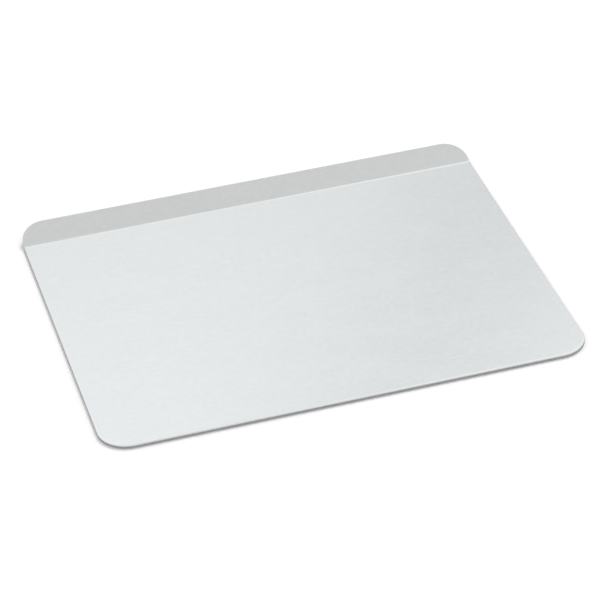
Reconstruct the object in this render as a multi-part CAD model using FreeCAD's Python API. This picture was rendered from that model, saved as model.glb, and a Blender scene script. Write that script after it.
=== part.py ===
"""Cookie sheet: one heavy aluminium sheet with rounded corners and one long edge bent up as a grip lip.

Units are millimetres. The origin is on the resting plane under the middle of the sheet's outline.
+X runs along the lip, +Y from the open near edge towards the lip, +Z up.
"""
import FreeCAD, Part
import math
import os

# Blank
sheet_width = 431.8
sheet_depth = 355.6
sheet_thickness = 2.6
corner_radius = 27.0

# Grip lip, measured on the baking face
lip_length = 24.2
lip_angle_degrees = 24.0
lip_corner_radius = 22.0
bend_radius = 8.0

# Tumbled edge all round
edge_round = 0.5

# Two faces whose normals are further apart than this meet in a sharp edge
sharp_angle_degrees = 45.0

# Places worked out from the sizes above
lip_angle = math.radians(lip_angle_degrees)
sharp_angle = math.radians(sharp_angle_degrees)
outer_bend_radius = bend_radius + sheet_thickness
near_edge_y = -sheet_depth / 2
far_edge_y = sheet_depth / 2
lip_reach = outer_bend_radius * math.sin(lip_angle) + lip_length * math.cos(lip_angle)
rounded_off = edge_round * (math.cos(lip_angle) + math.sin(lip_angle)) - edge_round
bend_y = far_edge_y + rounded_off - lip_reach
bend_centre = FreeCAD.Vector(0, bend_y, sheet_thickness + bend_radius)
along_lip = FreeCAD.Vector(0, math.cos(lip_angle), math.sin(lip_angle))


def on_bend(radius, turn):
    """Point of the bend at a radius from its centre, after a turn from straight down towards the lip."""
    return bend_centre + FreeCAD.Vector(0, math.sin(turn), -math.cos(turn)) * radius


def bend_arc(radius):
    """Arc of the bend, from the flat to the lip."""
    return Part.Arc(on_bend(radius, 0), on_bend(radius, lip_angle / 2), on_bend(radius, lip_angle)).toShape()


def sheet_section():
    """Closed section across the sheet: flat, bend and lip, all of one thickness."""
    near_under = FreeCAD.Vector(0, near_edge_y, 0)
    near_top = FreeCAD.Vector(0, near_edge_y, sheet_thickness)
    lip_root_under = on_bend(outer_bend_radius, lip_angle)
    lip_root_top = on_bend(bend_radius, lip_angle)
    lip_end_under = lip_root_under + along_lip * lip_length
    lip_end_top = lip_root_top + along_lip * lip_length
    edges = [
        Part.makeLine(near_under, on_bend(outer_bend_radius, 0)),
        bend_arc(outer_bend_radius),
        Part.makeLine(lip_root_under, lip_end_under),
        Part.makeLine(lip_end_under, lip_end_top),
        Part.makeLine(lip_end_top, lip_root_top),
        bend_arc(bend_radius),
        Part.makeLine(on_bend(bend_radius, 0), near_top),
        Part.makeLine(near_top, near_under),
    ]
    return Part.Face(Part.Wire(Part.__sortEdges__(edges)))


def bent_strip():
    """The section drawn out to the full width, with square corners."""
    half_width = FreeCAD.Vector(sheet_width / 2, 0, 0)
    section = sheet_section()
    section.translate(-half_width)
    return section.extrude(half_width * 2)


def corner_edges(solid, end_y):
    """The two edges through the thickness at one end of the strip, one at each side."""
    corners = []
    for edge in solid.Edges:
        middle = edge.CenterOfMass
        at_side = abs(abs(middle.x) - sheet_width / 2) < sheet_thickness
        at_end = abs(middle.y - end_y) < sheet_thickness
        if at_side and at_end:
            corners.append(edge)
    return corners


def sharp_edges(solid):
    """Edges where two faces meet at an angle, which leaves out the lines where a round runs into a flat."""
    sharp = []
    for edge in solid.Edges:
        middle = edge.valueAt((edge.FirstParameter + edge.LastParameter) / 2)
        normals = []
        for face in solid.ancestorsOfType(edge, Part.Face):
            normals.append(face.normalAt(*face.Surface.parameter(middle)))
        if normals[0].getAngle(normals[1]) > sharp_angle:
            sharp.append(edge)
    return sharp


def cookie_sheet():
    """The whole sheet: bent strip, rounded corners, rounded edges."""
    sheet = bent_strip()
    sheet = sheet.makeFillet(corner_radius, corner_edges(sheet, near_edge_y))
    sheet = sheet.makeFillet(lip_corner_radius, corner_edges(sheet, far_edge_y))
    return sheet.makeFillet(edge_round, sharp_edges(sheet)).Solids[0]


os.makedirs("parts", exist_ok=True)
sheet = cookie_sheet()
print("cookie_sheet", sheet.ShapeType, sheet.isValid(), round(sheet.Volume), sheet.optimalBoundingBox())
sheet.exportStep("parts/cookie_sheet.step")
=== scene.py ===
"""Looks of a one-piece aluminium cookie sheet.

It has satin faces, a turned-up grip lip and a sheared, tumbled edge. Lengths are metres in the
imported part's frame: +X along the lip, +Y towards the lip, +Z up.
"""

import logging
import math
from dataclasses import dataclass
from enum import IntEnum
from typing import Any, Union

import bmesh
import bpy
from mathutils import Matrix, Vector


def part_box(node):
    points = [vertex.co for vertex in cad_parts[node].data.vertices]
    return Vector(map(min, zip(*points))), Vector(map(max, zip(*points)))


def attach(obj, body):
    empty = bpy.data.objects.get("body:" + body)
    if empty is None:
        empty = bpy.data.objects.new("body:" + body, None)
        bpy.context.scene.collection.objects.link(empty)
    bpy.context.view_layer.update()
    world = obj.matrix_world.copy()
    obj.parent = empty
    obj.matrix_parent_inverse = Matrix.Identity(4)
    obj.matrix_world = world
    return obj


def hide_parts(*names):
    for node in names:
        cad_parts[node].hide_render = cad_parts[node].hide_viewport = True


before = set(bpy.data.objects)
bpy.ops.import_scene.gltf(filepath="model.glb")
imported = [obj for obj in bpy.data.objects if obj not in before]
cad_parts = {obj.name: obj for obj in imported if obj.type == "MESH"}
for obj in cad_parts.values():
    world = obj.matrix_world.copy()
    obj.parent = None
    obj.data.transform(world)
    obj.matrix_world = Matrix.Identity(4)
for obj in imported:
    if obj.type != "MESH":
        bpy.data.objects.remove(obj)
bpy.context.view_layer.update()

LOG = logging.getLogger("cookie_sheet")
NODE = "cookie_sheet"
BODY = "root"
DEPTH_ATTRIBUTE = "through"

# Middle of a noise's range
MIDDLE = 0.5

# Sockets of a Mix node that blends two colours
MIX_DARK, MIX_LIGHT, MIX_RESULT = 6, 7, 2

Number = Union[float, "Shade"]
Colour = tuple[float, float, float]
Lengths = tuple[float, float, float]
Span = tuple[float, float]


class Region(IntEnum):
    """Parts of the surface with finishes of their own, in the order of the material slots."""

    FACE = 0
    ROUND = 1
    CUT = 2


class Shade:
    """One output of a shader node, on which arithmetic adds Math nodes."""

    def __init__(self, board: "Board", socket: bpy.types.NodeSocket) -> None:
        """Keeps the board and the socket that the value comes from."""
        self.board = board
        self.socket = socket

    def _math(self, operation: str, first: Number, second: Number) -> "Shade":
        """Result of one Math node on two values or links."""
        return self.board.add("ShaderNodeMath", {"operation": operation}, {0: first, 1: second})

    def __add__(self, other: Number) -> "Shade":
        """Sum."""
        return self._math("ADD", self, other)

    def __radd__(self, other: Number) -> "Shade":
        """Sum with a plain number first."""
        return self._math("ADD", other, self)

    def __sub__(self, other: Number) -> "Shade":
        """Difference."""
        return self._math("SUBTRACT", self, other)

    def __rsub__(self, other: Number) -> "Shade":
        """Difference from a plain number."""
        return self._math("SUBTRACT", other, self)

    def __mul__(self, other: Number) -> "Shade":
        """Product."""
        return self._math("MULTIPLY", self, other)

    def __rmul__(self, other: Number) -> "Shade":
        """Product with a plain number first."""
        return self._math("MULTIPLY", other, self)

    def __abs__(self) -> "Shade":
        """Size without its sign."""
        return self.board.add("ShaderNodeMath", {"operation": "ABSOLUTE"}, {0: self})

    def ramp(self, low: float, high: float) -> "Shade":
        """Smooth step that is 0 below low and 1 above high."""
        ends = {"Value": self, "From Min": low, "From Max": high}
        return self.board.add("ShaderNodeMapRange", {"interpolation_type": "SMOOTHSTEP"}, ends)


@dataclass(frozen=True)
class Pattern:
    """One noise of a finish, and how strongly it shows in the colour, roughness and relief.

    The size is the length of its blots along X, Y and Z, and the detail is how many finer layers
    are added.
    """

    size: Lengths
    detail: float = 2.0
    colour: float = 0.0
    roughness: float = 0.0
    relief: float = 0.0


class Board:
    """A node tree that is filled by short calls."""

    def __init__(self, tree: bpy.types.NodeTree) -> None:
        """Takes an empty start on a material's or the world's tree."""
        self.tree = tree
        tree.nodes.clear()

    def add(
        self, kind: str, settings: dict[str, Any], inputs: dict[Any, Any], output: Any = 0
    ) -> Shade:
        """Adds any node.

        Args:
            kind: Blender's name of the node type.
            settings: Properties of the node, which are set first.
            inputs: Values or links of its sockets, by name or number.
            output: Name or number of the output that is wanted.

        Returns:
            That output.
        """
        node = self.tree.nodes.new(kind)
        for name, value in settings.items():
            if name == "stops":
                self._set_stops(node.color_ramp, value)
            else:
                setattr(node, name, value)
        for name, value in inputs.items():
            if isinstance(value, Shade):
                self.tree.links.new(value.socket, node.inputs[name])
            else:
                node.inputs[name].default_value = value
        return Shade(self, node.outputs[output] if node.outputs else None)

    @staticmethod
    def _set_stops(ramp: bpy.types.ColorRamp, stops: tuple[Span, ...]) -> None:
        """Fills a ramp.

        Args:
            ramp: The ramp, as Blender makes it.
            stops: Place and grey of each stop, in rising order.
        """
        while len(ramp.elements) < len(stops):
            ramp.elements.new(1.0)
        for element, (place, grey) in zip(ramp.elements, stops):
            element.position = place
            element.color = (grey, grey, grey, 1.0)

    def place(self) -> Shade:
        """The point on the piece, in metres."""
        return self.add("ShaderNodeTexCoord", {}, {}, "Object")

    def noise(self, place: Shade, pattern: Pattern) -> Shade:
        """Adds a cloudy noise.

        Args:
            place: Point that the noise is read at.
            pattern: Size and detail of the noise.

        Returns:
            The noise, from 0 to 1 about its middle.
        """
        divided = {0: place, 1: pattern.size}
        scaled = self.add("ShaderNodeVectorMath", {"operation": "DIVIDE"}, divided)
        inputs = {"Vector": scaled, "Scale": 1.0, "Detail": pattern.detail}
        return self.add("ShaderNodeTexNoise", {}, inputs, "Fac")

    def turned(self, place: Shade, degrees: float) -> Shade:
        """The point turned about Z, so that a stretched noise runs at an angle."""
        turn = (0.0, 0.0, math.radians(degrees))
        return self.add("ShaderNodeMapping", {}, {"Vector": place, "Rotation": turn})

    def tint(self, share: Shade, dark: Colour, light: Colour) -> Shade:
        """Blend of two colours, dark where the share is 0 and light where it is 1."""
        blend = {"Factor": share, MIX_DARK: (*dark, 1.0), MIX_LIGHT: (*light, 1.0)}
        return self.add("ShaderNodeMix", {"data_type": "RGBA"}, blend, MIX_RESULT)

    def bump(self, relief: Shade, height: float) -> Shade:
        """Surface normal of a relief that is so many metres high where it is 1."""
        inputs = {"Strength": 1.0, "Distance": height, "Height": relief}
        return self.add("ShaderNodeBump", {}, inputs)

    def metal(
        self, colour: Shade, roughness: Shade, normal: Shade, glancing: float = 1.0
    ) -> None:
        """Closes a material as bare metal.

        Args:
            colour: Reflected colour.
            roughness: How widely it scatters.
            normal: Its relief.
            glancing: Share of the light that it keeps when it is seen from the side.
        """
        inputs = {
            "Base Color": colour,
            "Metallic": 1.0,
            "Roughness": roughness,
            "Normal": normal,
            "Specular Tint": (glancing, glancing, glancing, 1.0),
        }
        surface = self.add("ShaderNodeBsdfPrincipled", {}, inputs)
        self.add("ShaderNodeOutputMaterial", {}, {"Surface": surface})


def new_material(name: str) -> tuple[bpy.types.Material, Board]:
    """Makes an empty material.

    Args:
        name: Its name.

    Returns:
        The material and the board of its nodes.
    """
    material = bpy.data.materials.new(name)
    material.use_nodes = True
    return material, Board(material.node_tree)


def new_object(name: str, data: bpy.types.ID) -> bpy.types.Object:
    """Puts a mesh, a lamp or a camera into the scene.

    Args:
        name: Name of its object.
        data: What the object holds.

    Returns:
        The object.
    """
    thing = bpy.data.objects.new(name, data)
    bpy.context.scene.collection.objects.link(thing)
    return thing


def mesh_object(name: str, bm: bmesh.types.BMesh) -> bpy.types.Object:
    """Puts a finished shape into the scene.

    Args:
        name: Name of its mesh and its object.
        bm: The shape, which is freed.

    Returns:
        The object.
    """
    mesh = bpy.data.meshes.new(name)
    bm.to_mesh(mesh)
    bm.free()
    return new_object(name, mesh)


@dataclass(frozen=True)
class SatinFinish:
    """Natural rolled aluminium: lines along the lip, faint clouds, a fine tooth, hairline rubs."""

    name: str = "satin_aluminium"
    dark: Colour = (0.768, 0.791, 0.801)
    light: Colour = (0.853, 0.878, 0.889)
    roughness: float = 0.19
    relief_height: float = 0.000003
    clouds: Pattern = Pattern((0.060, 0.035, 0.035), colour=0.45, roughness=0.03)
    lines: Pattern = Pattern(
        (0.050, 0.0007, 1.0), detail=3.0, colour=0.2, roughness=0.02, relief=0.35
    )
    tooth: Pattern = Pattern(
        (0.0050, 0.0035, 0.0035), detail=3.0, colour=0.35, roughness=0.01, relief=0.06
    )
    tooth_step: Span = (0.2, 0.8)
    rubs: Pattern = Pattern((0.040, 0.00035, 1.0), detail=0.0, roughness=0.02, relief=0.12)
    rub_step: Span = (0.72, 0.80)
    rub_angles: tuple[float, ...] = (14.0, -27.0, 71.0)

    def material(self) -> bpy.types.Material:
        """Builds the finish.

        Returns:
            Its material, in which the rubs are sunk and the rest stands up.
        """
        material, board = new_material(self.name)
        place = board.place()
        lines = board.noise(place, self.lines)
        clouds = board.noise(place, self.clouds)
        tooth = board.noise(place, self.tooth).ramp(*self.tooth_step)
        rubs = sum(
            board.noise(board.turned(place, angle), self.rubs).ramp(*self.rub_step)
            for angle in self.rub_angles
        )
        share = (
            self.clouds.colour * clouds + self.tooth.colour * tooth + self.lines.colour * lines
        )
        roughness = (
            self.roughness
            + self.clouds.roughness * (clouds - MIDDLE)
            + self.lines.roughness * (lines - MIDDLE)
            + self.tooth.roughness * (tooth - MIDDLE)
            + self.rubs.roughness * rubs
        )
        relief = self.lines.relief * lines + self.tooth.relief * tooth - self.rubs.relief * rubs
        colour = board.tint(share, self.dark, self.light)
        board.metal(colour, roughness, board.bump(relief, self.relief_height))
        return material


@dataclass(frozen=True)
class TumbledFinishWithPaintedShade:
    """Edge rounded in a tumbling drum: a little duller than the faces, with small knocks, and
    coloured darker than them as painted shade along the edge.
    """

    name: str = "tumbled_round_painted_shade"
    # Painted shade: the round's colours are kept darker than the faces so that the edge line
    # darkens. The knocks vary them at random.
    dark: Colour = (0.68, 0.69, 0.695)
    light: Colour = (0.80, 0.81, 0.815)
    roughness: float = 0.30
    relief_height: float = 0.00002
    knocks: Pattern = Pattern((0.0012, 0.0012, 0.0012), detail=3.0, roughness=0.16)

    def material(self) -> bpy.types.Material:
        """Builds the finish.

        Returns:
            Its material.
        """
        material, board = new_material(self.name)
        knocks = board.noise(board.place(), self.knocks)
        roughness = self.roughness + self.knocks.roughness * (knocks - MIDDLE)
        colour = board.tint(knocks, self.dark, self.light)
        board.metal(colour, roughness, board.bump(knocks, self.relief_height))
        return material


@dataclass(frozen=True)
class ShearedFinishWithPaintedShade:
    """Cut edge of the blank: a burnished band under the baking face, then a rough torn band, both
    coloured far darker than cut aluminium as painted shade.
    """

    name: str = "sheared_cut_painted_shade"
    # Painted shade: both band colours are darker than the bare metal and stand in for the shadowed,
    # dark-reflecting edge. The torn band is also really duller.
    burnished_painted_shade: Colour = (0.45, 0.455, 0.46)
    torn_and_shaded: Colour = (0.37, 0.375, 0.38)
    burnished_roughness: float = 0.38
    torn_roughness: float = 0.62
    relief_height: float = 0.00004
    # Painted shade: the cut keeps no reflection at grazing angles, so it darkens when seen from the
    # side.
    glancing: float = 0.0
    tear_starts: float = 0.42
    tear_ends: float = 0.58
    tear_waver: float = 0.3
    streaks: Pattern = Pattern((0.0005, 0.0005, 0.006), roughness=0.1, relief=0.4)
    grit: Pattern = Pattern((0.0004, 0.0004, 0.0004), detail=3.0)

    def material(self) -> bpy.types.Material:
        """Builds the finish.

        Returns:
            Its material, which reads how deep in the thickness a point lies.
        """
        material, board = new_material(self.name)
        place = board.place()
        streaks = board.noise(place, self.streaks)
        grit = board.noise(place, self.grit)
        depth = board.add("ShaderNodeAttribute", {"attribute_name": DEPTH_ATTRIBUTE}, {}, "Fac")
        wavering = depth + self.tear_waver * (streaks - MIDDLE)
        torn_and_shaded = wavering.ramp(self.tear_starts, self.tear_ends)
        # Painted shade: the two bands blend between the darkened colours.
        colour = board.tint(torn_and_shaded, self.burnished_painted_shade, self.torn_and_shaded)
        rougher = self.torn_roughness - self.burnished_roughness
        roughness = (
            self.burnished_roughness
            + rougher * torn_and_shaded
            + self.streaks.roughness * (streaks - MIDDLE)
        )
        relief = (1 - torn_and_shaded) * streaks * self.streaks.relief + torn_and_shaded * grit
        board.metal(colour, roughness, board.bump(relief, self.relief_height), self.glancing)
        return material


@dataclass
class CookieSheet:
    """The sheet, drawn as it is made.

    It is a blank with one edge bent up, its corners cut round, its rim rolled down a little by the
    die, and its edges tumbled.
    """

    width: float
    depth: float
    thickness: float = 0.0026
    corner_radius: float = 0.027
    lip_length: float = 0.0242
    lip_angle: float = math.radians(24.0)
    lip_corner_radius: float = 0.022
    bend_radius: float = 0.008
    edge_round: float = 0.0005
    roll_width: float = 0.0022
    roll_drop: float = 0.00015
    bend_steps: int = 14
    corner_steps: int = 28
    round_steps: int = 4

    @classmethod
    def in_frame(cls) -> "CookieSheet":
        """The sheet at the size of its CAD node."""
        low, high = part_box(NODE)
        return cls(width=high.x - low.x, depth=high.y - low.y)

    @property
    def along_lip(self) -> Vector:
        """Direction from the bend to the lip's end."""
        return Vector((0.0, math.cos(self.lip_angle), math.sin(self.lip_angle)))

    @property
    def lip_normal(self) -> Vector:
        """Direction square to the lip, out of its baking face."""
        return Vector((0.0, -self.along_lip.z, self.along_lip.y))

    @property
    def bend_centre(self) -> Vector:
        """Works out where the bend's axis is.

        Returns:
            The point on the axis above the middle of the line where the flat ends.
        """
        outer = self.bend_radius + self.thickness
        reach = outer * self.along_lip.z + self.lip_length * self.along_lip.y
        rounded_off = self.edge_round * (self.along_lip.y + self.along_lip.z) - self.edge_round
        flat_end = self.depth / 2 + rounded_off - reach
        return Vector((0.0, flat_end, self.thickness + self.bend_radius))

    def build(self) -> bpy.types.Object:
        """Models the sheet.

        Returns:
            The finished piece, riding on its body in place of its CAD node.
        """
        bm = bmesh.new()
        self._draw_out(bm)
        self._round_corners(bm)
        cut = self._thicken(bm)
        self._round_edges(bm, cut)
        piece = mesh_object("sheet", bm)
        self._mark_depth(piece.data)
        weighting = piece.modifiers.new("even_shading", "WEIGHTED_NORMAL")
        weighting.keep_sharp = False
        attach(piece, BODY)
        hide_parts(NODE)
        return piece

    def _draw_out(self, bm: bmesh.types.BMesh) -> None:
        """Draws the baking face: the flat out to the bend, the bend, then the lip.

        Args:
            bm: Empty mesh to draw in.
        """
        near_y = -self.depth / 2
        near = [bm.verts.new((side * self.width / 2, near_y, self.thickness)) for side in (-1, 1)]
        edge = bm.edges.new(near)
        edge = self._drawn_edge(bm, edge, Vector((0.0, self.bend_centre.y - near_y, 0.0)))
        bend = bmesh.ops.spin(
            bm,
            geom=[*edge.verts, edge],
            cent=self.bend_centre,
            axis=(1.0, 0.0, 0.0),
            angle=self.lip_angle,
            steps=self.bend_steps,
        )
        edge = next(part for part in bend["geom_last"] if isinstance(part, bmesh.types.BMEdge))
        self._drawn_edge(bm, edge, self.along_lip * self.lip_length)
        bmesh.ops.recalc_face_normals(bm, faces=bm.faces)
        if sum(face.normal.z for face in bm.faces) < 0:
            bmesh.ops.reverse_faces(bm, faces=bm.faces)

    @staticmethod
    def _drawn_edge(
        bm: bmesh.types.BMesh, edge: bmesh.types.BMEdge, way: Vector
    ) -> bmesh.types.BMEdge:
        """Draws one edge out into a strip.

        Args:
            bm: Mesh that the edge is in.
            edge: Edge to draw out.
            way: How far it goes.

        Returns:
            The edge at the strip's far side.
        """
        drawn = bmesh.ops.extrude_edge_only(bm, edges=[edge])["geom"]
        ends = [part for part in drawn if isinstance(part, bmesh.types.BMVert)]
        bmesh.ops.translate(bm, verts=ends, vec=way)
        return bm.edges.get(ends)

    def _round_corners(self, bm: bmesh.types.BMesh) -> None:
        """Rounds the two near corners and the two lip corners.

        Args:
            bm: Mesh of the baking face.
        """
        near_y = min(vert.co.y for vert in bm.verts)
        far_y = max(vert.co.y for vert in bm.verts)
        for end_y, radius in ((near_y, self.corner_radius), (far_y, self.lip_corner_radius)):
            bmesh.ops.bevel(
                bm,
                geom=[vert for vert in bm.verts if abs(vert.co.y - end_y) < self.edge_round],
                offset=radius,
                offset_type="OFFSET",
                affect="VERTICES",
                segments=self.corner_steps,
                profile=0.5,
                material=-1,
            )

    def _thicken(self, bm: bmesh.types.BMesh) -> set[bmesh.types.BMFace]:
        """Gives the baking face the sheet's thickness, downwards, and a rolled rim.

        Args:
            bm: Mesh of the baking face.

        Returns:
            The faces of the cut edge.
        """
        bmesh.ops.inset_region(
            bm,
            faces=bm.faces[:],
            thickness=self.roll_width,
            use_boundary=True,
            use_even_offset=True,
        )
        bm.normal_update()
        baking_face = set(bm.faces)
        rim = [edge for edge in bm.edges if edge.is_boundary]
        upwards = {vert: vert.normal.copy() for edge in rim for vert in edge.verts}
        bmesh.ops.solidify(bm, geom=bm.faces[:], thickness=self.thickness)
        self._roll_down(upwards)
        cut = {face for edge in rim for face in edge.link_faces} - baking_face
        for face in cut:
            face.material_index = Region.CUT
        return cut

    def _roll_down(self, upwards: dict[bmesh.types.BMVert, Vector]) -> None:
        """Rolls the rim down as a die does, in full on the flat and fading out through the bend.

        Args:
            upwards: Vertices of the baking face's rim, each with the direction out of that face.
        """
        on_lip = self.lip_normal.z
        for vert, normal in upwards.items():
            flatness = (normal.z - on_lip) / (1 - on_lip)
            vert.co -= normal * self.roll_drop * flatness

    def _round_edges(self, bm: bmesh.types.BMesh, cut: set[bmesh.types.BMFace]) -> None:
        """Rounds the edges where the cut meets the faces.

        Args:
            bm: Mesh of the thick sheet.
            cut: Faces of its cut edge.
        """
        arrises = [edge for edge in bm.edges if len(cut.intersection(edge.link_faces)) == 1]
        rounded = bmesh.ops.bevel(
            bm,
            geom=arrises,
            offset=self.edge_round,
            offset_type="OFFSET",
            affect="EDGES",
            segments=self.round_steps,
            profile=0.5,
            material=-1,
        )
        for face in rounded["faces"]:
            face.material_index = Region.ROUND
        for face in bm.faces:
            face.smooth = True

    def _mark_depth(self, mesh: bpy.types.Mesh) -> None:
        """Stores how deep each vertex lies, from 0 on the baking face to 1 underneath.

        Args:
            mesh: Mesh of the finished sheet.
        """
        centre = self.bend_centre
        depth = mesh.attributes.new(DEPTH_ATTRIBUTE, "FLOAT", "POINT")
        for vert, value in zip(mesh.vertices, depth.data):
            arm = vert.co - centre
            arm.x = 0.0
            if arm.y < 0:
                below = -arm.z
            elif arm.dot(self.along_lip) > 0:
                below = -arm.dot(self.lip_normal)
            else:
                below = arm.length
            value.value = (below - self.bend_radius) / self.thickness

    @staticmethod
    def dress(piece: bpy.types.Object) -> None:
        """Gives each region of the piece its finish.

        Args:
            piece: The built sheet.
        """
        finishes = {
            Region.FACE: SatinFinish(),
            Region.ROUND: TumbledFinishWithPaintedShade(),
            Region.CUT: ShearedFinishWithPaintedShade(),
        }
        for region in Region:
            piece.data.materials.append(finishes[region].material())


@dataclass(frozen=True)
class Softbox:
    """A square lamp that lights the floor and doesn't show in the metal, with angles in degrees."""

    name: str
    azimuth: float
    elevation: float
    distance: float
    size: float
    brightness: float

    def build(self) -> None:
        """Hangs the lamp so that it faces the sheet."""
        light = bpy.data.lights.new(self.name, "AREA")
        light.shape = "SQUARE"
        light.size = self.size
        light.energy = self.brightness * math.pi * self.size**2
        lamp = new_object(self.name, light)
        away = turned_away(self.azimuth, self.elevation)
        lamp.location = away * self.distance
        lamp.rotation_euler = away.to_track_quat("Z", "Y").to_euler()
        lamp.visible_glossy = False


@dataclass
class Studio:
    """Pale floor, light tent and one key lamp.

    Heights in the tent run from 0 at the floor to 1 overhead.
    """

    floor_size: float = 24.0
    floor_drop: float = 0.0009
    floor_colour: Colour = (0.89, 0.89, 0.89)
    sky: tuple[Span, ...] = (
        (0.0, 0.62),
        (0.26, 0.66),
        (0.45, 0.82),
        (0.60, 1.06),
        (0.70, 1.09),
        (0.80, 1.01),
        (0.90, 0.74),
        (1.0, 0.71),
    )
    seam_azimuth: float = math.radians(17.8)
    seam_width: float = math.radians(3.0)
    seam_depth: float = 0.32
    seam_middle: float = 0.56
    seam_lean: float = 0.70
    seam_foot: Span = (0.26, 0.39)
    seam_top: Span = (0.79, 0.87)
    roof_edge: Span = (0.80, 0.92)
    wall_colour: Colour = (1.0, 1.0, 1.0)
    roof_colour: Colour = (1.01, 1.0, 0.98)
    softbox: Softbox = Softbox(
        "key_softbox", azimuth=135.0, elevation=56.0, distance=6.0, size=1.6, brightness=16.0
    )

    def build(self) -> None:
        """Sets up the floor, the light tent and the key lamp."""
        self._floor()
        self._tent()
        self.softbox.build()

    def _floor(self) -> None:
        """Lays a plain floor just under the sheet."""
        bm = bmesh.new()
        bmesh.ops.create_grid(bm, x_segments=1, y_segments=1, size=self.floor_size / 2)
        bmesh.ops.translate(bm, verts=bm.verts, vec=(0.0, 0.0, -self.floor_drop))
        floor = mesh_object("floor", bm)
        material, board = new_material("floor")
        surface = board.add("ShaderNodeBsdfDiffuse", {}, {"Color": (*self.floor_colour, 1.0)})
        board.add("ShaderNodeOutputMaterial", {}, {"Surface": surface})
        floor.data.materials.append(material)

    def _tent(self) -> None:
        """Makes a light tent, brightest halfway up its sides.

        A dark seam leans between two of its back panels, and its roof is a little warmer.
        """
        world = bpy.data.worlds.new("surround")
        world.use_nodes = True
        bpy.context.scene.world = world
        board = Board(world.node_tree)
        way = board.add("ShaderNodeTexCoord", {}, {}, "Generated")
        right, back, up = (
            board.add("ShaderNodeSeparateXYZ", {}, {"Vector": way}, axis) for axis in "XYZ"
        )
        sky = board.add("ShaderNodeValToRGB", {"stops": self.sky}, {"Fac": up})
        azimuth = board.add("ShaderNodeMath", {"operation": "ARCTAN2"}, {0: right, 1: back})
        leaned = azimuth + self.seam_lean * (up - self.seam_middle)
        seam = 1 - abs(leaned - self.seam_azimuth).ramp(0.0, self.seam_width)
        seam = seam * up.ramp(*self.seam_foot) * (1 - up.ramp(*self.seam_top))
        level = sky - self.seam_depth * seam
        colour = board.tint(up.ramp(*self.roof_edge), self.wall_colour, self.roof_colour)
        glow = board.add("ShaderNodeBackground", {}, {"Color": colour, "Strength": level})
        board.add("ShaderNodeOutputWorld", {}, {"Surface": glow})


@dataclass
class Viewpoint:
    """The photograph's camera, with angles in degrees, and lens and sensor in millimetres."""

    azimuth: float = -14.12
    elevation: float = 33.819
    roll: float = -3.421
    distance: float = 2.617
    aim_right: float = 0.00401
    aim_up: float = -0.00745
    lens: float = 175.93
    sensor: float = 36.0

    def build(self) -> None:
        """Sets up the camera and makes it the scene's own."""
        back = turned_away(self.azimuth, self.elevation)
        turn = Matrix.Rotation(math.radians(self.roll), 3, "Z")
        around = math.radians(self.azimuth)
        right = Vector((math.cos(around), math.sin(around), 0.0))
        axes = Matrix((right, back.cross(right), back)).transposed() @ turn
        data = bpy.data.cameras.new("photo_camera")
        data.sensor_width = self.sensor
        data.lens = self.lens
        camera = new_object("photo_camera", data)
        place = axes @ Vector((self.aim_right, self.aim_up, self.distance))
        camera.matrix_world = Matrix.Translation(place) @ axes.to_4x4()
        bpy.context.scene.camera = camera


def turned_away(azimuth: float, elevation: float) -> Vector:
    """Works out a direction away from the sheet.

    Args:
        azimuth: Degrees round the sheet, 0 on its near side and 90 on its right.
        elevation: Degrees above the floor.

    Returns:
        A unit vector.
    """
    around, above = math.radians(azimuth), math.radians(elevation)
    level = math.cos(above)
    return Vector((math.sin(around) * level, -math.cos(around) * level, math.sin(above)))


def main() -> None:
    """Builds the sheet, the studio and the camera."""
    logging.basicConfig(level=logging.INFO, format="%(message)s")
    bpy.context.scene.view_settings.view_transform = "Standard"
    sheet = CookieSheet.in_frame()
    piece = sheet.build()
    sheet.dress(piece)
    LOG.info("%s: %d faces", piece.name, len(piece.data.polygons))
    Studio().build()
    Viewpoint().build()


if __name__ == "__main__":
    main()
